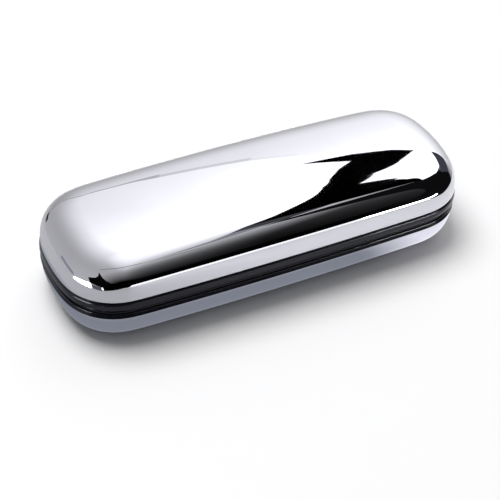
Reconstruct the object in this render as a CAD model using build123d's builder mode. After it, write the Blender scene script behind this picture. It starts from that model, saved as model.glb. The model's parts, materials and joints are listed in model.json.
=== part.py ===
from build123d import *
import math
import os

# Hard spectacle case: two mirror-finished pressed shells, each on a black moulded rim,
# lined with a flocked tray over foam, and joined at the back by two snap hinges.
# Frame: +Z up, X along the case, the opening edge faces -Y, the hinges are at +Y.
# The origin is on the table under the middle of the case.

# ---- driving dimensions, mm ----
case_length = 160.0
case_width = 59.5
case_height = 36.4

# Plan outline: an arc for each long side, each end and each corner, all tangent.
side_radius = 1890.0
end_radius = 58.0
corner_radius = 20.2

# Heights of the edges, from the table up.
base_shell_top = 12.8
parting_height = 14.7
lid_shell_bottom = 20.3

# Pressed shells.
shell_thickness = 0.6
base_heel_radius = 10.5
lid_shoulder_radius = 13.0
crown_cross_radius = 180.0
crown_long_radius = 2200.0

# Moulded rims: a visible band, and a lip that carries the shell from inside.
rim_inset = 2.2
lid_rim_bulge = 0.45
base_rim_bulge = 0.25
lid_rim_lower_round = 1.3
lid_rim_upper_round = 0.35
base_rim_round = 0.45
lip_height = 1.6

# Lining: foam behind, flocked tray in front.
tray_thickness = 1.0
tray_setback = 0.4

# Snap hinges, two of them on one line that runs just behind the case.
hinge_spacing = 72.0
hinge_axis_y = case_width / 2 + 0.55
knuckle_radius = 1.9
notch_clearance = 0.4
leaf_width = 16.0
leaf_thickness = 0.6
leaf_inner_y = 24.2
leaf_fit = 0.1
lid_knuckle_width = 6.0
knuckle_gap = 0.2
cam_flat_depth = 0.3
pin_radius = 0.75
pin_running_fit = 0.05
pin_tight_fit = 0.01
pin_head_radius = 1.2
pin_head_height = 0.5

# Blocks moulded on the rims that take the hinge leaves.
block_width = 18.0
block_inner_y = 23.4
block_outer_y = 28.0
block_depth = 5.2
block_clearance = 0.2

# Countersunk rivets that hold the leaves.
rivet_spacing = 11.0
rivet_y = 26.1
rivet_radius = 0.65
rivet_head_radius = 1.25
rivet_length = 3.0
rivet_fit = 0.05

# Snap springs: steel strips that stand in the base rim and press on the lid's knuckles.
spring_width = 5.2
spring_thickness = 0.4
spring_height = 2.9
spring_drop = 0.2
spring_gap = 0.15
spring_slot_fit = 0.05

os.makedirs("parts", exist_ok=True)

# ---- sizes that follow from the driving dimensions ----
half_length = case_length / 2
half_width = case_width / 2
tray_inset = rim_inset + tray_thickness
lid_lip_top = lid_shell_bottom + lip_height
base_lip_bottom = base_shell_top - lip_height
hinge_places = {"left": -hinge_spacing / 2, "right": hinge_spacing / 2}
notch_radius = knuckle_radius + notch_clearance
leaf_outer_y = hinge_axis_y - notch_radius
spring_outer_y = hinge_axis_y - knuckle_radius - spring_gap
spring_inner_y = spring_outer_y - spring_thickness
spring_top = parting_height - spring_drop

# The corner's centre lies where it is tangent inside both the side arc and the end arc.
side_centre_y = half_width - side_radius
end_centre_x = half_length - end_radius
centre_line = math.hypot(end_centre_x, side_centre_y)
side_reach = side_radius - corner_radius
end_reach = end_radius - corner_radius
cos_at_side = (side_reach**2 + centre_line**2 - end_reach**2) / (2 * side_reach * centre_line)
side_half_angle = math.degrees(math.acos(cos_at_side) + math.atan2(end_centre_x, -side_centre_y))
corner_x = side_reach * math.sin(math.radians(side_half_angle))
corner_y = side_centre_y + side_reach * math.cos(math.radians(side_half_angle))
end_half_angle = math.degrees(math.atan2(corner_y, corner_x - end_centre_x))
corner_sweep = 90 - side_half_angle - end_half_angle


def case_plan(height, inset):
    """The case's outline moved inwards by `inset`, as a face at `height`."""
    with BuildSketch(Plane.XY.offset(height)) as plan:
        with BuildLine():
            for turn in (0, 180):
                way = math.cos(math.radians(turn))
                side_start = turn + 90 - side_half_angle
                CenterArc((0, way * side_centre_y), side_radius - inset, side_start, 2 * side_half_angle)
                end_start = turn - end_half_angle
                CenterArc((way * end_centre_x, 0), end_radius - inset, end_start, 2 * end_half_angle)
                near_corner = (way * corner_x, way * corner_y)
                near_start = turn + end_half_angle
                CenterArc(near_corner, corner_radius - inset, near_start, corner_sweep)
                far_corner = (-way * corner_x, way * corner_y)
                far_start = turn + 90 + side_half_angle
                CenterArc(far_corner, corner_radius - inset, far_start, corner_sweep)
        make_face()
    return plan.sketch


def lid_crown(inset):
    """The space under the lid's gently crowned top, as wide and long as the case."""
    half_sweep = math.degrees(math.asin(case_length / crown_long_radius))
    axis_height = case_height - crown_long_radius
    tilt = math.radians(half_sweep)
    facing = (math.cos(tilt), 0, math.sin(tilt))
    start = Plane(origin=(0, 0, axis_height), x_dir=(0, 1, 0), z_dir=facing)
    with BuildPart() as crown:
        with BuildSketch(start):
            with Locations((0, crown_long_radius - crown_cross_radius)):
                Circle(crown_cross_radius - inset)
            with Locations((0, crown_long_radius)):
                Rectangle(2 * case_width, 4 * case_height, mode=Mode.INTERSECT)
        revolve(axis=Axis((0, 0, axis_height), (0, 1, 0)), revolution_arc=2 * half_sweep)
    return crown.part


def lid_form(inset, bottom):
    """A solid that fills the lid inside its outer skin by `inset`, down to `bottom`."""
    crown = lid_crown(inset)
    with BuildPart() as form:
        extrude(case_plan(bottom, inset), amount=case_height - bottom)
        add(crown, mode=Mode.INTERSECT)
        fillet(form.faces().sort_by(Axis.Z)[-1].edges(), lid_shoulder_radius - inset)
    return form.part


def base_form(inset, top):
    """A solid that fills the base inside its outer skin by `inset`, up to `top`."""
    with BuildPart() as form:
        extrude(case_plan(inset, inset), amount=top - inset)
        fillet(form.faces().sort_by(Axis.Z)[0].edges(), base_heel_radius - inset)
    return form.part


def block_box(centre_x, side, spare):
    """The space of a hinge block, above (side 1) or below (side -1) the parting plane."""
    width = block_width + 2 * spare
    depth = block_outer_y - block_inner_y + 2 * spare
    height = block_depth + spare
    middle = (centre_x, (block_inner_y + block_outer_y) / 2, parting_height + side * height / 2)
    return Pos(*middle) * Box(width, depth, height, mode=Mode.PRIVATE)


def leaf_plate(centre_x, side, inner_y, outer_y, width, thickness):
    """A flat plate that lies on the parting plane, above (side 1) or below (side -1) it."""
    middle = (centre_x, (inner_y + outer_y) / 2, parting_height + side * thickness / 2)
    return Pos(*middle) * Box(width, outer_y - inner_y, thickness, mode=Mode.PRIVATE)


def hinge_rod(centre_x, radius, width):
    """A round bar on the hinge line."""
    lying = Plane(origin=(centre_x, hinge_axis_y, parting_height), x_dir=(0, 1, 0), z_dir=(1, 0, 0))
    return lying * Cylinder(radius, width, mode=Mode.PRIVATE)


def rivet(centre_x, side, fit):
    """One countersunk rivet, its head flush with the parting plane, larger all round by `fit`."""
    head = leaf_thickness
    with BuildPart() as body:
        with BuildSketch(Plane.XZ.offset(-rivet_y)):
            with BuildLine():
                Polyline(
                    (centre_x, parting_height),
                    (centre_x + rivet_head_radius + fit, parting_height),
                    (centre_x + rivet_radius + fit, parting_height + side * head),
                    (centre_x + rivet_radius + fit, parting_height + side * rivet_length),
                    (centre_x, parting_height + side * rivet_length),
                    close=True,
                )
            make_face()
        revolve(axis=Axis((centre_x, rivet_y, 0), (0, 0, 1)))
    return body.part


def rivets_of(centre_x, side, fit):
    """The two rivets of one leaf."""
    return [rivet(centre_x + way * rivet_spacing / 2, side, fit) for way in (-1, 1)]


def save(piece, name):
    """Names a finished piece and writes its file."""
    piece.part.label = name
    export_step(piece.part, f"parts/{name}.step")


# ---- pressed shells ----
with BuildPart() as lid_shell:
    add(lid_form(0, lid_shell_bottom))
    add(lid_form(shell_thickness, lid_shell_bottom), mode=Mode.SUBTRACT)
save(lid_shell, "lid_shell")

with BuildPart() as base_shell:
    add(base_form(0, base_shell_top))
    add(base_form(shell_thickness, base_shell_top), mode=Mode.SUBTRACT)
save(base_shell, "base_shell")

# ---- moulded rims ----
with BuildPart() as lid_rim:
    extrude(case_plan(parting_height, -lid_rim_bulge), amount=lid_shell_bottom - parting_height)
    fillet(lid_rim.faces().sort_by(Axis.Z)[0].edges(), lid_rim_lower_round)
    fillet(lid_rim.faces().sort_by(Axis.Z)[-1].edges(), lid_rim_upper_round)
    extrude(case_plan(lid_shell_bottom, shell_thickness), amount=lip_height)
    lid_opening = case_plan(parting_height, rim_inset)
    extrude(lid_opening, amount=lid_lip_top - parting_height, mode=Mode.SUBTRACT)
    for x in hinge_places.values():
        add(block_box(x, 1, 0))
        add(leaf_plate(x, 1, leaf_inner_y - leaf_fit, hinge_axis_y, leaf_width + 2 * leaf_fit,
                       leaf_thickness), mode=Mode.SUBTRACT)
        add(hinge_rod(x, notch_radius, block_width), mode=Mode.SUBTRACT)
        add(rivets_of(x, 1, rivet_fit), mode=Mode.SUBTRACT)
save(lid_rim, "lid_rim")

with BuildPart() as base_rim:
    extrude(case_plan(base_shell_top, -base_rim_bulge), amount=parting_height - base_shell_top)
    fillet(base_rim.faces().sort_by(Axis.Z)[-1].edges(), base_rim_round)
    extrude(case_plan(base_lip_bottom, shell_thickness), amount=lip_height)
    base_opening = case_plan(base_lip_bottom, rim_inset)
    extrude(base_opening, amount=parting_height - base_lip_bottom, mode=Mode.SUBTRACT)
    for x in hinge_places.values():
        add(block_box(x, -1, 0))
        add(leaf_plate(x, -1, leaf_inner_y - leaf_fit, hinge_axis_y, leaf_width + 2 * leaf_fit,
                       leaf_thickness), mode=Mode.SUBTRACT)
        add(hinge_rod(x, notch_radius, block_width), mode=Mode.SUBTRACT)
        add(rivets_of(x, -1, rivet_fit), mode=Mode.SUBTRACT)
        slot_middle_y = (spring_inner_y + spring_outer_y) / 2
        slot_depth = parting_height - (spring_top - spring_height)
        with Locations((x, slot_middle_y, parting_height - slot_depth / 2)):
            Box(spring_width + 2 * spring_slot_fit, spring_thickness + 2 * spring_slot_fit, slot_depth,
                mode=Mode.SUBTRACT)
save(base_rim, "base_rim")

# ---- lining ----
with BuildPart() as lid_tray:
    tray_bottom = parting_height + tray_setback
    add(lid_form(rim_inset, tray_bottom))
    add(lid_form(tray_inset, tray_bottom), mode=Mode.SUBTRACT)
    for x in hinge_places.values():
        add(block_box(x, 1, block_clearance), mode=Mode.SUBTRACT)
save(lid_tray, "lid_tray")

with BuildPart() as base_tray:
    tray_top = parting_height - tray_setback
    add(base_form(rim_inset, tray_top))
    add(base_form(tray_inset, tray_top), mode=Mode.SUBTRACT)
    for x in hinge_places.values():
        add(block_box(x, -1, block_clearance), mode=Mode.SUBTRACT)
save(base_tray, "base_tray")

with BuildPart() as lid_foam:
    add(lid_form(shell_thickness, lid_lip_top))
    add(lid_form(rim_inset, lid_lip_top), mode=Mode.SUBTRACT)
save(lid_foam, "lid_foam")

with BuildPart() as base_foam:
    add(base_form(shell_thickness, base_lip_bottom))
    add(base_form(rim_inset, base_lip_bottom), mode=Mode.SUBTRACT)
    for x in hinge_places.values():
        add(block_box(x, -1, block_clearance), mode=Mode.SUBTRACT)
save(base_foam, "base_foam")

# ---- snap hinges ----
base_knuckle_start = lid_knuckle_width / 2 + knuckle_gap
base_knuckle_width = leaf_width / 2 - base_knuckle_start
base_leaf_inner_end = spring_inner_y - block_clearance

for hand, x in hinge_places.items():
    with BuildPart() as lid_leaf:
        add(leaf_plate(x, 1, leaf_inner_y, leaf_outer_y, leaf_width, leaf_thickness))
        add(leaf_plate(x, 1, leaf_outer_y, hinge_axis_y, lid_knuckle_width, leaf_thickness))
        add(hinge_rod(x, knuckle_radius, lid_knuckle_width))
        flat_y = hinge_axis_y - knuckle_radius + cam_flat_depth
        add(leaf_plate(x, -1, flat_y - knuckle_radius, flat_y, leaf_width, knuckle_radius),
            mode=Mode.SUBTRACT)
        add(hinge_rod(x, pin_radius + pin_running_fit, leaf_width), mode=Mode.SUBTRACT)
        add(rivets_of(x, 1, rivet_fit), mode=Mode.SUBTRACT)
    save(lid_leaf, f"{hand}_lid_hinge_leaf")

    with BuildPart() as base_leaf:
        add(leaf_plate(x, -1, leaf_inner_y, base_leaf_inner_end, leaf_width, leaf_thickness))
        for way in (-1, 1):
            knuckle_x = x + way * (base_knuckle_start + base_knuckle_width / 2)
            add(leaf_plate(knuckle_x, -1, base_leaf_inner_end, hinge_axis_y, base_knuckle_width,
                           leaf_thickness))
            add(hinge_rod(knuckle_x, knuckle_radius, base_knuckle_width))
        add(hinge_rod(x, pin_radius + pin_tight_fit, leaf_width), mode=Mode.SUBTRACT)
        add(rivets_of(x, -1, rivet_fit), mode=Mode.SUBTRACT)
    save(base_leaf, f"{hand}_base_hinge_leaf")

    with BuildPart() as hinge_pin:
        add(hinge_rod(x, pin_radius, leaf_width + 2 * pin_head_height))
        for way in (-1, 1):
            add(hinge_rod(x + way * (leaf_width + pin_head_height) / 2, pin_head_radius, pin_head_height))
    save(hinge_pin, f"{hand}_hinge_pin")

    with BuildPart() as snap_spring:
        with Locations((x, (spring_inner_y + spring_outer_y) / 2, spring_top - spring_height / 2)):
            Box(spring_width, spring_thickness, spring_height)
        fillet(snap_spring.edges().filter_by(Axis.Y).group_by(Axis.Z)[-1], spring_thickness)
    save(snap_spring, f"{hand}_snap_spring")

with BuildPart() as lid_rivets:
    for x in hinge_places.values():
        add(rivets_of(x, 1, 0))
save(lid_rivets, "lid_hinge_rivets")

with BuildPart() as base_rivets:
    for x in hinge_places.values():
        add(rivets_of(x, -1, 0))
save(base_rivets, "base_hinge_rivets")
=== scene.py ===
import json
import math

import bmesh
import bpy
import numpy as np
from mathutils import Matrix, Vector


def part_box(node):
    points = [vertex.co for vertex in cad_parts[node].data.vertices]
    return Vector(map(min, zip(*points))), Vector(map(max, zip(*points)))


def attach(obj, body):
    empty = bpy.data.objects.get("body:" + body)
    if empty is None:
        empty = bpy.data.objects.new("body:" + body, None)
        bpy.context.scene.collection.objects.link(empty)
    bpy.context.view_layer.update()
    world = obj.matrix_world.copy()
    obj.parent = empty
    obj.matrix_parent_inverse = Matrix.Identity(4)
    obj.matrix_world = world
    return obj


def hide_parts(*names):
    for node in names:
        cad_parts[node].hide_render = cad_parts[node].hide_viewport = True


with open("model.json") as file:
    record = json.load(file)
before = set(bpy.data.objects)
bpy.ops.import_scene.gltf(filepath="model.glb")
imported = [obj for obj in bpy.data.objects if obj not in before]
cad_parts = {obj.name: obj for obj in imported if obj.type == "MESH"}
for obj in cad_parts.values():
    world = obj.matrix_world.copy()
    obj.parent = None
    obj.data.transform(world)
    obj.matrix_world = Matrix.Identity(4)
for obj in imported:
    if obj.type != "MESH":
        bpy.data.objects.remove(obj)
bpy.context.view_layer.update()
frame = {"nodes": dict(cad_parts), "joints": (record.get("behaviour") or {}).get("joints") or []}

MM = 0.001

# ---- camera, with its angles in degrees ----
# The view turns to the left of the case's front and looks down on it, a little tilted.
CAMERA_TURN = -28.4
CAMERA_RISE = 41.4
CAMERA_ROLL = 3.3
CAMERA_FIELD = 20.0
CAMERA_DISTANCE = 508 * MM
CAMERA_AIM = Vector((-11.75, -20.9, 20.3)) * MM

# ---- the case's outline: an arc for each side, end and corner ----
SIDE_RADIUS = 1890 * MM
END_RADIUS = 80 * MM
CORNER_RADIUS = 20.2 * MM
EASING = 3.5 * MM       # how far along the edge one arc's curvature runs into the next
OUTLINE_STEPS = 7200    # fine steps that the outline is summed in
COLUMNS = 480           # points kept round the outline

# ---- sizes read from the frame ----
shell_low, shell_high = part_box("lid_shell")
base_low, base_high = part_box("base_shell")
HALF_LENGTH = shell_high.x
HALF_WIDTH = shell_high.y
LID_EDGE = shell_low.z
LID_TOP = shell_high.z
BASE_EDGE = base_high.z
HINGE = frame["joints"][0]
HINGE_Y, PARTING = HINGE["pos_m"][1], HINGE["pos_m"][2]

# ---- form of the shells, rims and trays ----
SHEET = 0.6 * MM        # thickness of the plated sheet
ROUNDNESS = 2.4         # exponent of the shoulder's curve: 2 is an ellipse, more is squarer
LID_SHOULDER = 15 * MM  # how far in from the edge the shoulder runs
BASE_HEEL = 12 * MM     # the same at the base's underside
CROWN_ACROSS = 180 * MM  # radii of the lid's crowned top, across the case and along it
CROWN_ALONG = 2200 * MM
RIM_INSET = 2.2 * MM    # how far inside the outer skin a rim's back face lies
LIP = 1.6 * MM          # how far a rim's lip reaches over the sheet's edge
TRAY = 1.0 * MM         # thickness of a tray
TRAY_SETBACK = 0.4 * MM  # how far a tray's free edge stays back from the seam

# ---- hinge blocks moulded on the rims, and the room round them ----
HANDS = ("left", "right")
BLOCK_WIDTH = 18 * MM
BLOCK_INNER = 23.4 * MM  # how far behind the case's middle line a block starts, and where it ends
BLOCK_OUTER = 28.0 * MM
BLOCK_DEPTH = 5.2 * MM
BLOCK_SPARE = 0.2 * MM
LEAF_THICKNESS = 0.6 * MM
LEAF_SPARE = 0.1 * MM
NOTCH_SPARE = 0.4 * MM
SLOT_SPARE = 0.05 * MM
OVERCUT = 1.0 * MM      # how far a cutting tool reaches past the seam

# ---- mesh finish ----
MERGE_DISTANCE = 0.002 * MM
SHARP_ANGLE = math.radians(35)


# ======================================================================
# Outline, surfaces and mesh tools
# ======================================================================

def arc_joints():
    """Lengths of the half end arc, the corner arc and the half side arc in one quarter."""
    side_centre = HALF_WIDTH - SIDE_RADIUS
    end_centre = HALF_LENGTH - END_RADIUS
    apart = math.hypot(end_centre, side_centre)
    reach = SIDE_RADIUS - CORNER_RADIUS
    end_reach = END_RADIUS - CORNER_RADIUS
    share = (reach**2 + apart**2 - end_reach**2) / (2 * reach * apart)
    side_angle = math.acos(share) + math.atan2(end_centre, -side_centre)
    corner_x = reach * math.sin(side_angle)
    corner_y = side_centre + reach * math.cos(side_angle)
    end_angle = math.atan2(corner_y, corner_x - end_centre)
    corner_angle = math.pi / 2 - side_angle - end_angle
    return END_RADIUS * end_angle, CORNER_RADIUS * corner_angle, SIDE_RADIUS * side_angle


def running_sum(values):
    """The sum from the first value to each one, by the trapezium rule, so that it stays symmetric."""
    return np.cumsum(values) - 0.5 * values - 0.5 * values[0]


def eased_outline():
    """Points and outward normals round the case, with the curvature eased between the arcs."""
    end_run, corner_run, side_run = arc_joints()
    quarter = end_run + corner_run + side_run
    step = 4 * quarter / OUTLINE_STEPS
    along = np.arange(OUTLINE_STEPS) * step
    from_end = np.abs((along + quarter) % (2 * quarter) - quarter)
    bend = np.where(from_end < end_run, 1 / END_RADIUS, 1 / CORNER_RADIUS)
    bend = np.where(from_end > end_run + corner_run, 1 / SIDE_RADIUS, bend)
    waves = np.fft.rfftfreq(OUTLINE_STEPS, step)
    bend = np.fft.irfft(np.fft.rfft(bend) * np.exp(-2 * (math.pi * waves * EASING)**2), OUTLINE_STEPS)
    bend *= 2 * math.pi / (bend.sum() * step)  # one exact turn, so that the outline closes
    heading = running_sum(bend) * step
    x = running_sum(-np.sin(heading))
    y = running_sum(np.cos(heading))
    x -= (x.max() + x.min()) / 2
    y -= (y.max() + y.min()) / 2
    points = np.stack([x * HALF_LENGTH / x.max(), y * HALF_WIDTH / y.max()], 1)
    normals = np.stack([np.cos(heading), np.sin(heading)], 1)
    kept = np.arange(COLUMNS) * OUTLINE_STEPS // COLUMNS
    return points[kept], normals[kept]


OUTLINE, OUTWARD = eased_outline()


def loop_at(inset, height):
    """The outline moved inwards by inset, at a height."""
    flat = OUTLINE - inset * OUTWARD
    return np.column_stack([flat, np.full(COLUMNS, height)])


def crown_height(x, y):
    """Height of the lid's gently crowned top."""
    return LID_TOP - x**2 / (2 * CROWN_ALONG) - y**2 / (2 * CROWN_ACROSS)


def pillow(inset, edge, top, shoulder, rings=48, cap=24):
    """Loops from the edge up the shoulder and over the top to the middle line.

    top(x, y) is the height of the crown, and inset is how far inside the outer skin it lies."""
    loops = []
    reach = shoulder - inset
    for turn in np.linspace(0, math.pi / 2, rings):
        inwards = reach * (1 - math.cos(turn)**(2 / ROUNDNESS))
        share = math.sin(turn)**(2 / ROUNDNESS)
        loop = loop_at(inset + inwards, edge)
        loop[:, 2] += share * (top(loop[:, 0], loop[:, 1]) - edge)
        loops.append(loop)
    last = loops[-1]
    spine = HALF_LENGTH - HALF_WIDTH
    middle = np.column_stack([np.clip(last[:, 0], -spine, spine), np.zeros(COLUMNS), last[:, 2]])
    for share in np.linspace(0, 1, cap + 1)[1:]:
        loop = last * (1 - share) + middle * share
        loop[:, 2] = top(loop[:, 0], loop[:, 1])
        loops.append(loop)
    return loops


def add_object(name, data):
    """A new object in the scene that holds the given mesh, lamp or camera data."""
    made = bpy.data.objects.new(name, data)
    bpy.context.scene.collection.objects.link(made)
    return made


def add_solid(name, work):
    """A new object with the mesh that a bmesh holds."""
    mesh = bpy.data.meshes.new(name)
    work.to_mesh(mesh)
    work.free()
    return add_object(name, mesh)


def mesh_piece(name, loops, closed):
    """A mesh through loops of equal length. closed joins the last loop to the first."""
    vertices = np.concatenate(loops)
    faces = []
    turns = len(loops) if closed else len(loops) - 1
    for row in range(turns):
        low = row * COLUMNS
        high = (row + 1) % len(loops) * COLUMNS
        for column in range(COLUMNS):
            after = (column + 1) % COLUMNS
            faces.append((low + column, low + after, high + after, high + column))
    mesh = bpy.data.meshes.new(name)
    mesh.from_pydata(vertices.tolist(), [], faces)
    return add_object(name, mesh)


def shade_piece(piece, work):
    """Gives the piece the mesh that a bmesh holds, faces outwards, smooth up to the sharp angle."""
    bmesh.ops.recalc_face_normals(work, faces=work.faces)
    work.to_mesh(piece.data)
    work.free()
    piece.data.shade_smooth()
    piece.data.set_sharp_from_angle(angle=SHARP_ANGLE)
    return piece


def tidy_mesh(piece):
    """Merges doubled points, turns the faces outwards and shades the piece smooth."""
    work = bmesh.new()
    work.from_mesh(piece.data)
    bmesh.ops.remove_doubles(work, verts=work.verts, dist=MERGE_DISTANCE)
    bmesh.ops.dissolve_degenerate(work, edges=work.edges, dist=MERGE_DISTANCE / 2)
    return shade_piece(piece, work)


def shell_piece(name, outer, inner):
    """A closed skin between an outer and an inner pillow that share their edge."""
    return tidy_mesh(mesh_piece(name, inner[::-1] + outer, closed=False))


def ring_piece(name, profile):
    """A closed ring round the case with a cross-section of (inset, height) points."""
    loops = [loop_at(inset, height) for inset, height in profile]
    return tidy_mesh(mesh_piece(name, loops, closed=True))


def roll_down(start, turns, steps=8):
    """Points down a rim's outer face from an (inset, height) start.

    turns lists (length, tilt at its start, tilt at its end). The tilt is how far, in degrees, the
    face looks up: 90 is level, 0 is upright and below 0 it looks down."""
    points = [start]
    for length, first, last in turns:
        parts = steps if first != last else 1
        for tilt in np.radians(first + (last - first) * (np.arange(parts) + 0.5) / parts):
            inset, height = points[-1]
            run = length / parts
            points.append((inset - run * math.sin(tilt), height - run * math.cos(tilt)))
    return points


def solid_box(name, low, high):
    """A box between two corners."""
    work = bmesh.new()
    bmesh.ops.create_cube(work, size=1)
    for vertex in work.verts:
        vertex.co = [low[i] + (vertex.co[i] + 0.5) * (high[i] - low[i]) for i in range(3)]
    return add_solid(name, work)


def hinge_bar(name, centre_x, radius, width, sides=48):
    """A round bar along X on the hinge line."""
    work = bmesh.new()
    bmesh.ops.create_cone(work, cap_ends=True, segments=sides, radius1=radius, radius2=radius, depth=width)
    for vertex in work.verts:
        x, y, z = vertex.co
        vertex.co = (centre_x + z, HINGE_Y + x, PARTING + y)
    return add_solid(name, work)


def combine(piece, tool, operation):
    """Joins or cuts a piece with a tool object, which is then removed."""
    modifier = piece.modifiers.new("combine", "BOOLEAN")
    modifier.operation = operation
    modifier.solver = "EXACT"
    modifier.object = tool
    bpy.context.view_layer.update()
    result = bpy.data.meshes.new_from_object(piece.evaluated_get(bpy.context.evaluated_depsgraph_get()))
    piece.modifiers.clear()
    old = piece.data
    piece.data = result
    bpy.data.meshes.remove(old)
    bpy.data.objects.remove(tool)


def slice_level(piece, height, upper):
    """Cuts a closed skin flat at a height, keeps the part above (or below) it and closes the cut."""
    work = bmesh.new()
    work.from_mesh(piece.data)
    everything = work.verts[:] + work.edges[:] + work.faces[:]
    way = 1 if upper else -1
    bmesh.ops.bisect_plane(work, geom=everything, plane_co=(0, 0, height), plane_no=(0, 0, way),
                           clear_inner=True)
    cut = [edge for edge in work.edges if edge.is_boundary]
    bmesh.ops.bridge_loops(work, edges=cut)
    shade_piece(piece, work)


# ======================================================================
# Pieces
# ======================================================================

def block_corners(hand, side, spare):
    """Corners of one hinge's block, above (side 1) or below (side -1) the seam, with room round it."""
    pin_low, pin_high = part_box(f"{hand}_hinge_pin")
    middle = (pin_low.x + pin_high.x) / 2
    half = BLOCK_WIDTH / 2 + spare
    bottom, top = sorted((PARTING, PARTING + side * (BLOCK_DEPTH + spare)))
    return (middle - half, BLOCK_INNER - spare, bottom), (middle + half, BLOCK_OUTER + spare, top)


def fit_hinges(rim, side):
    """Adds the hinge blocks to a rim, and cuts the leaves' seats, the knuckles' notches and the slots."""
    part = "lid" if side > 0 else "base"
    for hand in HANDS:
        low, high = block_corners(hand, side, 0)
        combine(rim, solid_box("block", low, high), "UNION")
        leaf_low, leaf_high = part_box(f"{hand}_{part}_hinge_leaf")
        seat_bottom, seat_top = sorted((PARTING - side * OVERCUT, PARTING + side * LEAF_THICKNESS))
        seat_low = (leaf_low.x - LEAF_SPARE, leaf_low.y - LEAF_SPARE, seat_bottom)
        seat_high = (leaf_high.x + LEAF_SPARE, HINGE_Y, seat_top)
        combine(rim, solid_box("seat", seat_low, seat_high), "DIFFERENCE")
        knuckle = leaf_high.y - HINGE_Y
        middle = (leaf_low.x + leaf_high.x) / 2
        combine(rim, hinge_bar("notch", middle, knuckle + NOTCH_SPARE, BLOCK_WIDTH), "DIFFERENCE")
    if side < 0:
        for hand in HANDS:
            low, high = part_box(f"{hand}_snap_spring")
            spare = Vector((SLOT_SPARE, SLOT_SPARE, 0))
            high.z = PARTING + OVERCUT
            combine(rim, solid_box("slot", low - spare, high + spare), "DIFFERENCE")


def crown_inside(inset):
    """The lid's top surface, moved inwards by inset."""
    return lambda x, y: crown_height(x, y) - inset


def floor_inside(inset):
    """The base's flat underside, moved inwards by inset."""
    return lambda x, y: np.full(np.shape(x), base_low.z + inset)


def make_lid_shell():
    """Domed, plated skin of the lid."""
    outer = pillow(0, LID_EDGE, crown_inside(0), LID_SHOULDER)
    inner = pillow(SHEET, LID_EDGE, crown_inside(SHEET), LID_SHOULDER)
    return shell_piece("lid_skin", outer, inner)


def make_base_shell():
    """Flat-bottomed, plated skin of the base."""
    outer = pillow(0, BASE_EDGE, floor_inside(0), BASE_HEEL)
    inner = pillow(SHEET, BASE_EDGE, floor_inside(SHEET), BASE_HEEL)
    return shell_piece("base_skin", outer, inner)


def make_lid_rim():
    """Wide black rim: it slopes out from under the shell to a round bead, then cuts in to the seam."""
    lip_top = LID_EDGE + LIP
    slope_inset, seam_inset = 0.55 * MM, 1.4 * MM
    profile = [(RIM_INSET, PARTING), (RIM_INSET, lip_top), (SHEET, lip_top), (SHEET, LID_EDGE)]
    profile += roll_down((slope_inset, LID_EDGE), [
        (1.15 * MM, 30, 30),
        (1.60 * MM, 30, 0),
        (0.70 * MM, 0, 0),
        (0.50 * MM, 0, -50),
        (2.35 * MM, -50, -50),
    ])
    profile += [(seam_inset, PARTING)]
    rim = ring_piece("lid_band", profile)
    fit_hinges(rim, 1)
    return tidy_mesh(rim)


def make_base_rim():
    """Narrow black rim: a rounded edge in the seam groove, then a slope out to the base shell."""
    lip_bottom = BASE_EDGE - LIP
    ledge = PARTING - 0.5 * MM
    seam_inset, groove_inset, ledge_inset = 1.1 * MM, 1.0 * MM, 0.60 * MM
    profile = [(SHEET, BASE_EDGE), (SHEET, lip_bottom), (RIM_INSET, lip_bottom), (RIM_INSET, PARTING)]
    profile += [(seam_inset, PARTING), (groove_inset, ledge)]
    profile += roll_down((ledge_inset, ledge), [
        (0.25 * MM, 90, 21),
        (0.22 * MM, 21, 21),
        (1.05 * MM, 34, 34),
        (0.20 * MM, 34, -40),
    ])
    profile += [(0, BASE_EDGE)]
    rim = ring_piece("base_band", profile)
    fit_hinges(rim, -1)
    return tidy_mesh(rim)


def make_tray(name, free_edge, edge, top, shoulder, side):
    """A flocked tray: its wall runs straight from the free edge, then turns over like the shell."""
    outer = [loop_at(RIM_INSET, free_edge)] + pillow(RIM_INSET, edge, top(RIM_INSET), shoulder)
    inside = RIM_INSET + TRAY
    inner = [loop_at(inside, free_edge)] + pillow(inside, edge, top(inside), shoulder)
    tray = shell_piece(name, outer, inner)
    for hand in HANDS:
        low, high = block_corners(hand, side, BLOCK_SPARE)
        combine(tray, solid_box("pocket", low, high), "DIFFERENCE")
    return tidy_mesh(tray)


def make_foam(name, edge, top, shoulder, level, side):
    """The foam between a shell and its tray, from the rim's lip onwards."""
    outer = pillow(SHEET, edge, top(SHEET), shoulder)
    inner = pillow(RIM_INSET, edge, top(RIM_INSET), shoulder)
    foam = shell_piece(name, outer, inner)
    slice_level(foam, level, side > 0)
    return foam


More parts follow.
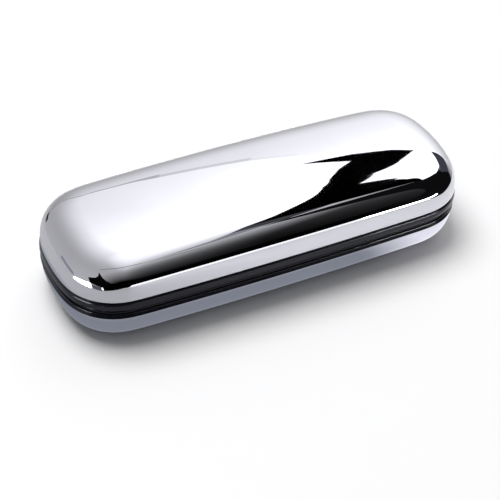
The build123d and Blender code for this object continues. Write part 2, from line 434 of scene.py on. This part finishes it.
def build_pieces():
    """Makes every formed piece, each on its body and standing for its CAD node."""
    deep = LID_EDGE + LIP
    shallow = BASE_EDGE - LIP
    lid_tray = make_tray("lid_lining", PARTING + TRAY_SETBACK, LID_EDGE, crown_inside, LID_SHOULDER, 1)
    base_tray = make_tray("base_lining", PARTING - TRAY_SETBACK, BASE_EDGE, floor_inside, BASE_HEEL, -1)
    lid_foam = make_foam("lid_padding", LID_EDGE, crown_inside, LID_SHOULDER, deep, 1)
    base_foam = make_foam("base_padding", BASE_EDGE, floor_inside, BASE_HEEL, shallow, -1)
    rows = [
        (make_lid_shell(), "lid", "lid_shell", "chrome_shell", chrome()),
        (make_base_shell(), "base", "base_shell", "chrome_shell", chrome()),
        (make_lid_rim(), "lid", "lid_rim", "black_rim", gloss_black()),
        (make_base_rim(), "base", "base_rim", "black_rim", gloss_black()),
        (lid_tray, "lid", "lid_tray", "flocked_lining", flock()),
        (base_tray, "base", "base_tray", "flocked_lining", flock()),
        (lid_foam, "lid", "lid_foam", "foam_backing", foam()),
        (base_foam, "base", "base_foam", "foam_backing", foam()),
    ]
    for piece, body, node, slot, material in rows:
        piece.data.materials.clear()
        piece.data.materials.append(material)
        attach(piece, body)
        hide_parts(node)


def ease_edges(node, width):
    """Rounds the edges of a CAD node a little, as tumbled or moulded metal is."""
    weld = node.modifiers.new("weld", "WELD")
    weld.merge_threshold = MERGE_DISTANCE
    bevel = node.modifiers.new("edges", "BEVEL")
    bevel.width = width
    bevel.segments = 2
    bevel.limit_method = "ANGLE"
    bevel.angle_limit = math.radians(40)
    bevel.harden_normals = True


def dress_hardware():
    """Materials and eased edges for the hinge leaves, pins, springs and rivets."""
    finishes = {
        "hinge_leaf": (brushed_steel, 0.08 * MM),
        "hinge_pin": (turned_steel, 0.08 * MM),
        "snap_spring": (blued_steel, 0.05 * MM),
        "hinge_rivets": (rivet_metal, 0.06 * MM),
    }
    for name, node in frame["nodes"].items():
        for ending, (material, width) in finishes.items():
            if name.endswith(ending):
                node.data.materials.clear()
                node.data.materials.append(material())
                ease_edges(node, width)


# ======================================================================
# Materials
# ======================================================================

def start_material(name):
    """A new node material: returns it, its nodes, its links and its surface shader."""
    material = bpy.data.materials.new(name)
    material.use_nodes = True
    tree = material.node_tree
    return material, tree.nodes, tree.links, tree.nodes["Principled BSDF"]


def plain_material(name, shader_type):
    """A new material of one plain shader: returns it, its nodes, its links and the shader."""
    material = bpy.data.materials.new(name)
    material.use_nodes = True
    tree = material.node_tree
    tree.nodes.clear()
    shader = tree.nodes.new(shader_type)
    end = tree.nodes.new("ShaderNodeOutputMaterial")
    tree.links.new(shader.outputs[0], end.inputs["Surface"])
    return material, tree.nodes, tree.links, shader


def grain(nodes, links, size, detail=3, roughness=0.5, stretch=(1, 1, 1)):
    """Noise whose features are about size across (metres), stretched along an axis if asked."""
    place = nodes.new("ShaderNodeTexCoord")
    mapping = nodes.new("ShaderNodeMapping")
    mapping.inputs["Scale"].default_value = [1 / (size * share) for share in stretch]
    noise = nodes.new("ShaderNodeTexNoise")
    noise.inputs["Scale"].default_value = 1
    noise.inputs["Detail"].default_value = detail
    noise.inputs["Roughness"].default_value = roughness
    links.new(place.outputs["Object"], mapping.inputs["Vector"])
    links.new(mapping.outputs["Vector"], noise.inputs["Vector"])
    return noise.outputs["Fac"]


def cells(nodes, links, size):
    """Cell pattern with cells about size across (metres)."""
    place = nodes.new("ShaderNodeTexCoord")
    pattern = nodes.new("ShaderNodeTexVoronoi")
    pattern.inputs["Scale"].default_value = 1 / size
    links.new(place.outputs["Object"], pattern.inputs["Vector"])
    return pattern.outputs["Distance"]


def spread(nodes, links, source, low, high, start=0.3, end=0.7):
    """The source pattern's range start..end spread over low..high."""
    ramp = nodes.new("ShaderNodeMapRange")
    ramp.inputs["From Min"].default_value = start
    ramp.inputs["From Max"].default_value = end
    ramp.inputs["To Min"].default_value = low
    ramp.inputs["To Max"].default_value = high
    links.new(source, ramp.inputs["Value"])
    return ramp.outputs["Result"]


def tint(nodes, links, source, dark, light, start=0.3, end=0.7):
    """Colours between dark and light by the source pattern."""
    ramp = nodes.new("ShaderNodeValToRGB")
    ramp.color_ramp.elements[0].position = start
    ramp.color_ramp.elements[0].color = (*dark, 1)
    ramp.color_ramp.elements[1].position = end
    ramp.color_ramp.elements[1].color = (*light, 1)
    links.new(source, ramp.inputs["Fac"])
    return ramp.outputs["Color"]


def relief(nodes, links, source, depth, strength=1.0, over=None):
    """Bump of the given depth (metres) from a pattern, laid over another bump if asked."""
    bump = nodes.new("ShaderNodeBump")
    bump.inputs["Strength"].default_value = strength
    bump.inputs["Distance"].default_value = depth
    links.new(source, bump.inputs["Height"])
    if over is not None:
        links.new(over, bump.inputs["Normal"])
    return bump.outputs["Normal"]


def shared(make):
    """Makes a material once, so that pieces of one material share it."""
    made = []

    def get():
        if not made:
            made.append(make())
        return made[0]

    return get


@shared
def chrome():
    """Mirror-plated pressed steel: a very slight swell of the sheet, and faint haze from handling."""
    material, nodes, links, surface = start_material("mirror_chrome")
    surface.inputs["Metallic"].default_value = 1.0
    haze = grain(nodes, links, 22 * MM, detail=4)
    mist = grain(nodes, links, 3 * MM, detail=2)
    links.new(tint(nodes, links, haze, (0.650, 0.653, 0.705), (0.680, 0.683, 0.735)),
              surface.inputs["Base Color"])
    links.new(spread(nodes, links, haze, 0.012, 0.035), surface.inputs["Roughness"])
    swell = grain(nodes, links, 14 * MM, detail=0)
    plate = relief(nodes, links, swell, 0.004 * MM)
    links.new(relief(nodes, links, mist, 0.0003 * MM, over=plate), surface.inputs["Normal"])
    return material


@shared
def gloss_black():
    """Moulded black plastic with a polished skin, fine flow marks and a little dust in the gloss."""
    material, nodes, links, surface = start_material("gloss_black_plastic")
    surface.inputs["IOR"].default_value = 1.5
    surface.inputs["Specular IOR Level"].default_value = 0.2
    surface.inputs["Specular Tint"].default_value = (0.86, 0.88, 1, 1)
    surface.inputs["Coat Weight"].default_value = 0.3
    surface.inputs["Coat Roughness"].default_value = 0.05
    cloud = grain(nodes, links, 9 * MM, detail=3)
    speck = grain(nodes, links, 0.25 * MM, detail=2)
    flow = grain(nodes, links, 1.5 * MM, detail=2, stretch=(6, 6, 0.6))
    links.new(tint(nodes, links, cloud, (0.003, 0.003, 0.006), (0.008, 0.008, 0.013)),
              surface.inputs["Base Color"])
    links.new(spread(nodes, links, speck, 0.17, 0.26), surface.inputs["Roughness"])
    skin = relief(nodes, links, flow, 0.006 * MM)
    links.new(relief(nodes, links, speck, 0.0015 * MM, over=skin), surface.inputs["Normal"])
    return material


@shared
def flock():
    """Short black flock on the trays: upright fibres, brushed lighter and darker in patches."""
    material, nodes, links, surface = start_material("black_flock")
    surface.inputs["Sheen Weight"].default_value = 0.9
    surface.inputs["Sheen Roughness"].default_value = 0.4
    surface.inputs["Sheen Tint"].default_value = (0.75, 0.76, 0.80, 1)
    surface.inputs["Specular IOR Level"].default_value = 0.1
    nap = grain(nodes, links, 9 * MM, detail=8, roughness=0.68)
    fibre = grain(nodes, links, 0.12 * MM, detail=3, roughness=0.7)
    tuft = cells(nodes, links, 0.45 * MM)
    links.new(tint(nodes, links, nap, (0.016, 0.016, 0.018), (0.042, 0.042, 0.046), 0.32, 0.70),
              surface.inputs["Base Color"])
    links.new(spread(nodes, links, nap, 0.8, 1.0), surface.inputs["Roughness"])
    under = relief(nodes, links, tuft, 0.16 * MM, strength=0.9)
    links.new(relief(nodes, links, fibre, 0.08 * MM, over=under), surface.inputs["Normal"])
    return material


@shared
def foam():
    """Open-cell charcoal foam behind the trays."""
    material, nodes, links, surface = start_material("charcoal_foam")
    surface.inputs["Specular IOR Level"].default_value = 0.15
    cell = cells(nodes, links, 0.6 * MM)
    patch = grain(nodes, links, 6 * MM, detail=3)
    links.new(tint(nodes, links, cell, (0.045, 0.045, 0.048), (0.12, 0.12, 0.125), 0.1, 0.6),
              surface.inputs["Base Color"])
    links.new(spread(nodes, links, patch, 0.85, 1.0), surface.inputs["Roughness"])
    links.new(relief(nodes, links, cell, 0.25 * MM), surface.inputs["Normal"])
    return material


@shared
def brushed_steel():
    """Stamped hinge leaves, brushed along the hinge line, with darker marks where they rub."""
    material, nodes, links, surface = start_material("brushed_hinge_steel")
    surface.inputs["Metallic"].default_value = 1.0
    line = grain(nodes, links, 0.09 * MM, detail=2, stretch=(40, 1, 1))
    stain = grain(nodes, links, 3 * MM, detail=4)
    links.new(tint(nodes, links, stain, (0.36, 0.355, 0.345), (0.55, 0.55, 0.54)),
              surface.inputs["Base Color"])
    links.new(spread(nodes, links, line, 0.22, 0.42), surface.inputs["Roughness"])
    links.new(relief(nodes, links, line, 0.012 * MM), surface.inputs["Normal"])
    return material


@shared
def turned_steel():
    """Hinge pins, with fine turning marks round them."""
    material, nodes, links, surface = start_material("turned_pin_steel")
    surface.inputs["Metallic"].default_value = 1.0
    ring = grain(nodes, links, 0.07 * MM, detail=1, stretch=(1, 30, 30))
    stain = grain(nodes, links, 1.5 * MM, detail=3)
    links.new(tint(nodes, links, stain, (0.48, 0.48, 0.47), (0.62, 0.62, 0.62)),
              surface.inputs["Base Color"])
    links.new(spread(nodes, links, ring, 0.16, 0.32), surface.inputs["Roughness"])
    links.new(relief(nodes, links, ring, 0.008 * MM), surface.inputs["Normal"])
    return material


@shared
def blued_steel():
    """Tempered leaf springs: blue-black oxide, rubbed straw-brown in places."""
    material, nodes, links, surface = start_material("blued_spring_steel")
    surface.inputs["Metallic"].default_value = 1.0
    temper = grain(nodes, links, 1.8 * MM, detail=3)
    line = grain(nodes, links, 0.08 * MM, detail=2, stretch=(1, 1, 25))
    links.new(tint(nodes, links, temper, (0.035, 0.045, 0.085), (0.11, 0.09, 0.08)),
              surface.inputs["Base Color"])
    links.new(spread(nodes, links, line, 0.28, 0.45), surface.inputs["Roughness"])
    links.new(relief(nodes, links, line, 0.006 * MM), surface.inputs["Normal"])
    return material


@shared
def rivet_metal():
    """Nickelled rivets with slightly hammered heads."""
    material, nodes, links, surface = start_material("nickel_rivet")
    surface.inputs["Metallic"].default_value = 1.0
    dimple = cells(nodes, links, 0.5 * MM)
    stain = grain(nodes, links, 0.8 * MM, detail=3)
    links.new(tint(nodes, links, stain, (0.54, 0.52, 0.48), (0.70, 0.68, 0.64)),
              surface.inputs["Base Color"])
    links.new(spread(nodes, links, stain, 0.15, 0.30), surface.inputs["Roughness"])
    links.new(relief(nodes, links, dimple, 0.02 * MM), surface.inputs["Normal"])
    return material


# ======================================================================
# Studio
# ======================================================================

# Directions in the studio are (turn, rise) in degrees: turn 0 is towards the camera, 90 is to the
# camera's right, 180 is behind the case, and rise is the height above the horizon.
CARD_DISTANCE = 6.0             # metres, as all sizes of the studio are
LAYER_GAP = 0.1
BACKDROP_RADIUS = 4.0
LAMP_PLACE = (238, 70)
LAMP_DISTANCE = 1.6
LAMP_SIZE = 1.1
LAMP_POWER = 44                 # watts
FLOOR_REACH = 30.0
TABLE_HEIGHT = 0.01 * MM
TABLE_GLOW_HEIGHT = 0.02 * MM
SKY_GLOW_FROM = (150, 50)       # where the room is brightest
DARK_FRONT = (25, -5)           # where it is darkest, under the camera
DARK_RIGHT = (85, 15)           # and dark again
BRIGHT_BACK = (165, 5)          # where it is a little brighter than round about
BRIGHT_RIGHT = (80, 66)
TABLE_SHADOW = (-0.065, 0.010)     # where along X the table goes from its painted shadow, dim, to its full tone
GLOW_TURN = (0.038, 0.062)      # where along X the glow goes from painted shade, dark, to painted light
FLOOR_PALING = (0.4, 1.0)       # how far out the floor starts and stops growing paler: painted light where the lamp falls off


def direction(turn, rise):
    """Unit vector of a studio direction."""
    turn, rise, camera_turn = (math.radians(angle) for angle in (turn, rise, CAMERA_TURN))
    front = Vector((math.sin(camera_turn), -math.cos(camera_turn), 0))
    right = Vector((math.cos(camera_turn), math.sin(camera_turn), 0))
    level = math.cos(turn) * front + math.sin(turn) * right
    return math.cos(rise) * level + Vector((0, 0, math.sin(rise)))


def glow(name, colour, strength):
    """A plain glowing surface."""
    material, _, _, light = plain_material(name, "ShaderNodeEmission")
    light.inputs["Color"].default_value = (*colour, 1)
    light.inputs["Strength"].default_value = strength
    return material


def flat_mesh(name, corners):
    """A flat face through corners."""
    mesh = bpy.data.meshes.new(name)
    mesh.from_pydata([tuple(corner) for corner in corners], [], [range(len(corners))])
    board = add_object(name, mesh)
    return board


def seen_only_in_gloss(board):
    """Hides a board from everything but mirror and gloss reflections."""
    board.visible_camera = False
    board.visible_diffuse = False
    board.visible_transmission = False
    board.visible_shadow = False


def hang(name, corners, distance):
    """A flat board facing the case, seen only in reflections, with its corners in studio directions."""
    aims = [direction(turn, rise) for turn, rise in corners]
    middle = sum(aims, Vector()).normalized()
    board = flat_mesh(name, [distance * aim / aim.dot(middle) for aim in aims])
    seen_only_in_gloss(board)
    return board


def card(name, corners, colour, strength, layer=0):
    """A softbox or a black flag. Higher layers hang in front of lower ones."""
    board = hang(name, corners, CARD_DISTANCE - LAYER_GAP * layer)
    board.data.materials.append(glow(name, colour, strength))


def scrim(name, corners, shade):
    """A thin grey gauze that dims what is behind it to a share of its light."""
    board = hang(name, corners, CARD_DISTANCE - LAYER_GAP / 2)
    material, _, _, gauze = plain_material(name, "ShaderNodeBsdfTransparent")
    gauze.inputs["Color"].default_value = (shade, shade, shade, 1)
    board.data.materials.append(material)


def seam(name, route, width, shade):
    """The thin dim gap between two panels of the room, from a route of directions to width above it."""
    for index, (start, end) in enumerate(zip(route, route[1:])):
        raised = [(end[0], end[1] + width), (start[0], start[1] + width)]
        scrim(f"{name}_{index}", [start, end] + raised, shade)


def toward(nodes, links, place, aim):
    """How far the looked-at direction points towards aim, from -1 to 1."""
    dot = nodes.new("ShaderNodeVectorMath")
    dot.operation = "DOT_PRODUCT"
    dot.inputs[1].default_value = aim
    links.new(place, dot.inputs[0])
    return dot.outputs["Value"]


def multiply(nodes, links, first, second):
    """The product of two values."""
    product = nodes.new("ShaderNodeMath")
    product.operation = "MULTIPLY"
    links.new(first, product.inputs[0])
    links.new(second, product.inputs[1])
    return product.outputs["Value"]


def make_room_light():
    """Soft light of a white room: brightest high behind the case, dark low in front and on the right."""
    world = bpy.data.worlds.new("studio")
    bpy.context.scene.world = world
    world.use_nodes = True
    nodes, links = world.node_tree.nodes, world.node_tree.links
    place = nodes.new("ShaderNodeTexCoord").outputs["Generated"]
    aim = toward(nodes, links, place, direction(*SKY_GLOW_FROM))
    curve = nodes.new("ShaderNodeFloatCurve")
    points = curve.mapping.curves[0].points
    # How far a direction points towards the brightest one, and the light from there.
    stops = [(0.00, 0.54), (0.40, 0.58), (0.60, 0.75), (0.77, 1.03), (0.86, 1.25), (0.93, 1.7), (1.00, 2.4)]
    top = stops[-1][1]
    points[0].location = (stops[0][0], stops[0][1] / top)
    points[1].location = (stops[-1][0], 1)
    for where, value in stops[1:-1]:
        points.new(where, value / top)
    curve.mapping.update()
    links.new(aim, curve.inputs["Value"])
    front = spread(nodes, links, toward(nodes, links, place, direction(*DARK_FRONT)), top, 0, 0.50, 0.90)
    right = spread(nodes, links, toward(nodes, links, place, direction(*DARK_RIGHT)), 1, 0.06, 0.58, 0.84)
    back = spread(nodes, links, toward(nodes, links, place, direction(*BRIGHT_BACK)), 1, 1.3, 0.75, 1.00)
    lobe = spread(nodes, links, toward(nodes, links, place, direction(*BRIGHT_RIGHT)), 1, 1.4, 0.86, 0.985)
    shade = multiply(nodes, links, multiply(nodes, links, front, right), multiply(nodes, links, back, lobe))
    strength = multiply(nodes, links, curve.outputs["Value"], shade)
    nodes["Background"].inputs["Color"].default_value = (1, 1, 1, 1)
    links.new(strength, nodes["Background"].inputs["Strength"])


def make_cards():
    """Softboxes, screens, flags and the seams between the room's panels."""
    white, lilac, grey = (1, 1, 1), (0.82, 0.83, 1.0), (0.95, 0.96, 1.0)
    card("right_softbox", [(167, 40), (153, 32), (125, 31), (110, 37), (88, 49), (106, 58), (123, 60),
                           (147, 58), (163, 48), (167, 42)], white, 2.2)
    card("roof_gap", [(176.5, 38.4), (172.5, 38), (169, 38.5), (166.5, 39.5), (166, 42), (163, 48),
                      (147, 58), (123, 59.5), (106, 57.5), (88, 49), (86, 60), (86, 66.5),
                      (101, 67.3), (124, 66.8), (145, 62.5), (160, 55.5), (167.5, 49.3), (170.7, 44.7),
                      (171.5, 42), (171.5, 40.2), (174, 39.3)],
         grey, 0, layer=1)
    card("gap_middle", [(86, 66.5), (86, 59), (74, 58), (74, 63.6)], grey, 0.07, layer=1)
    card("gap_end", [(74, 63.6), (74, 58), (62, 57), (53, 56.8), (57, 58.5), (65, 60.3)], grey, 0.34, layer=1)
    card("right_screen", [(153, 32), (139, 11), (122, 2), (113, 25), (125, 31)], lilac, 0.08, layer=1)
    card("right_flag", [(90, 50), (116, 31), (113, 25), (122, 2), (122, -14), (90, -11), (69, -10), (60, 0),
                        (58, 10), (68, 25), (72, 45), (70, 60)], grey, 0.006, layer=2)
    card("front_flag", [(60, 0), (42, 5), (23, -3), (0, -6), (345, -9), (343, 12), (0, 17), (20, 17),
                        (40, 17), (60, 14)], grey, 0.001, layer=2)
    card("left_flag", [(333, 44), (338, 40), (344, 32), (352, 24), (0, 19), (0, 10), (347, 0), (323, 5),
                       (317, 18), (331, 26), (335, 34)], grey, 0.003, layer=1)
    card("front_strip", [(18, 0), (36, 4), (57, 2.5), (65, 1), (67, -6), (57, -8),
                         (20, -8)], white, 1.6, layer=3)
    card("strip_lamp", [(56, 1.8), (66, 1.6), (77, 1.4), (77, 0.2), (66, 0.2), (56, 0.2)], white, 60, layer=4)
    card("window", [(288, -8), (300, -2), (322, 4), (330, -1), (326, -12), (288, -16)], white, 12, layer=3)
    card("window_edge", [(344.5, 0), (347, 0), (348, -8), (345, -8)], white, 3, layer=3)
    card("low_screen", [(324, 2), (344, 0), (345, -10), (328, -13)], lilac, 0.14, layer=2)
    card("left_screen", [(262, 2), (286, 2), (290, -4), (284, -5), (262, -4)], lilac, 0.38, layer=1)
    card("dark_corner", [(222, -4), (233, -3), (234, -11), (224, -10)], grey, 0.02, layer=1)
    edge = [(178, 35.2), (182, 33.5), (185.4, 32.8), (188.6, 32.2), (192, 31.2), (195, 29.2), (203, 21),
            (213, 9), (224, -3)]
    scrim("back_screen", [(173, 38)] + edge + [(205, -12), (145, -12), (140, 5), (152, 30), (165, 34)], 0.86)
    seam("back_seam", edge[3:], -1.2, 0.6)
    seam("middle_seam", edge[1:4], -0.9, 0.78)
    seam("far_seam", edge[:2], -0.5, 0.92)
    seam("front_seam", [(333, 52), (352, 58.8), (12, 60.9), (30, 60.8), (44.6, 59.4), (51.4, 57.4),
                        (53.2, 54), (55.3, 50.5)], 2.2, 0.5)


def floor_paint(name, shadow_share):
    """White paint, paler further out as painted light where the lamp falls off, and darkened at the left to a
    share of its tone by a painted shadow of the case.
    """
    paint, nodes, links, surface = start_material(name)
    surface.inputs["Roughness"].default_value = 0.9
    place = nodes.new("ShaderNodeTexCoord")
    away = nodes.new("ShaderNodeVectorMath")
    away.operation = "LENGTH"
    links.new(place.outputs["Object"], away.inputs[0])
    # Painted light: the paint is paler further out, where the lamp's light falls off.
    tone = tint(nodes, links, away.outputs["Value"], (0.45, 0.45, 0.455), (0.9, 0.9, 0.9), *FLOOR_PALING)
    parts = nodes.new("ShaderNodeSeparateXYZ")
    links.new(place.outputs["Object"], parts.inputs["Vector"])
    shadowed = nodes.new("ShaderNodeVectorMath")
    shadowed.operation = "SCALE"
    links.new(tone, shadowed.inputs[0])
    # Painted shadow: the tone is darkened towards the left, where the case's shadow falls.
    links.new(spread(nodes, links, parts.outputs["X"], shadow_share, 1, *TABLE_SHADOW), shadowed.inputs["Scale"])
    links.new(shadowed.outputs["Vector"], surface.inputs["Base Color"])
    return paint


def make_floor():
    """A white floor under the case."""
    wide = FLOOR_REACH
    floor = flat_mesh("floor", [(-wide, -wide, 0), (wide, -wide, 0), (wide, wide, 0), (-wide, wide, 0)])
    floor.data.materials.append(floor_paint("white_floor", 1))
    floor.visible_glossy = False


def make_table():
    """The part of the floor that shows in the case's reflections, with dark gaps left beside it."""
    table = flat_mesh("table", [(-0.20, 0.11, 0), (-0.20, -0.10, 0), (-0.155, -0.11, 0), (-0.16, -0.25, 0),
                                (-0.20, -1.2, 0), (0.75, -1.2, 0), (0.20, -0.12, 0), (0.17, 0.02, 0),
                                (0.13, 0.07, 0), (-0.08, 0.10, 0)])
    table.location.z = TABLE_HEIGHT
    # The table's paint holds a painted shadow of the case, darker towards the left.
    table.data.materials.append(floor_paint("table_paint", 0.58))
    table.visible_camera = False
    table.visible_diffuse = False
    table.visible_shadow = False


def painted_table_light():
    """Painted light for the table close round the case: a glow with painted shade at the left, let through by
    the cover attribute.
    """
    material, nodes, links, light = plain_material("table_glow", "ShaderNodeEmission")
    light.inputs["Strength"].default_value = 1
    place = nodes.new("ShaderNodeTexCoord")
    parts = nodes.new("ShaderNodeSeparateXYZ")
    links.new(place.outputs["Object"], parts.inputs["Vector"])
    # Painted shade at the left and painted light at the right, along X.
    tone = tint(nodes, links, parts.outputs["X"], (0.30, 0.32, 0.36), (1.1, 1.1, 1.16), *GLOW_TURN)
    links.new(tone, light.inputs["Color"])
    cover = nodes.new("ShaderNodeAttribute")
    cover.attribute_name = "cover"
    clear = nodes.new("ShaderNodeBsdfTransparent")
    mixed = nodes.new("ShaderNodeMixShader")
    links.new(cover.outputs["Fac"], mixed.inputs["Fac"])
    links.new(clear.outputs["BSDF"], mixed.inputs[1])
    links.new(light.outputs["Emission"], mixed.inputs[2])
    links.new(mixed.outputs["Shader"], nodes["Material Output"].inputs["Surface"])
    return material


def make_table_glow():
    """A ring of even glow, painted light with painted shade at its left, on the table round the case, fading
    outwards, seen only in reflections.
    """
    bands = [(5 * MM, 1), (-9 * MM, 1), (-22 * MM, 0)]  # inset and cover
    ring = mesh_piece("table_glow", [loop_at(inset, TABLE_GLOW_HEIGHT) for inset, _ in bands], closed=False)
    shares = ring.data.attributes.new("cover", "FLOAT", "POINT")
    shares.data.foreach_set("value", np.repeat([share for _, share in bands], COLUMNS).astype(float))
    ring.data.materials.append(painted_table_light())
    seen_only_in_gloss(ring)


def make_backdrop():
    """A white dome round the stage that only the camera sees."""
    work = bmesh.new()
    bmesh.ops.create_icosphere(work, subdivisions=4, radius=BACKDROP_RADIUS)
    dome = add_solid("backdrop", work)
    dome.data.materials.append(glow("backdrop", (1, 1, 1), 0.9))
    dome.visible_diffuse = False
    dome.visible_glossy = False
    dome.visible_transmission = False
    dome.visible_shadow = False


def make_lamp():
    """A soft round lamp high at the left rear, aimed at the case and left out of the reflections."""
    lamp = bpy.data.lights.new("top_lamp", "AREA")
    lamp.shape = "DISK"
    lamp.size = LAMP_SIZE
    lamp.energy = LAMP_POWER
    holder = add_object("top_lamp", lamp)
    aim = direction(*LAMP_PLACE)
    holder.location = aim * LAMP_DISTANCE
    holder.rotation_mode = "QUATERNION"
    holder.rotation_quaternion = aim.to_track_quat("Z", "Y")
    holder.visible_glossy = False


def make_camera():
    """The camera, turned to the left of the case and looking down at it."""
    back = direction(0, CAMERA_RISE)
    right = (-back).cross(Vector((0, 0, 1))).normalized()
    up = right.cross(-back)
    roll = math.radians(CAMERA_ROLL)
    tilted_right = right * math.cos(roll) + up * math.sin(roll)
    tilted_up = up * math.cos(roll) - right * math.sin(roll)
    data = bpy.data.cameras.new("camera")
    data.angle = math.radians(CAMERA_FIELD)
    data.clip_start = 0.01
    data.clip_end = 100
    camera = add_object("camera", data)
    turned = Matrix((tilted_right, tilted_up, back)).transposed()
    camera.matrix_world = Matrix.Translation(CAMERA_AIM + back * CAMERA_DISTANCE) @ turned.to_4x4()
    bpy.context.scene.camera = camera


build_pieces()
dress_hardware()
make_room_light()
make_cards()
make_floor()
make_table()
make_table_glow()
make_backdrop()
make_lamp()
make_camera()
bpy.context.scene.view_settings.view_transform = "Standard"
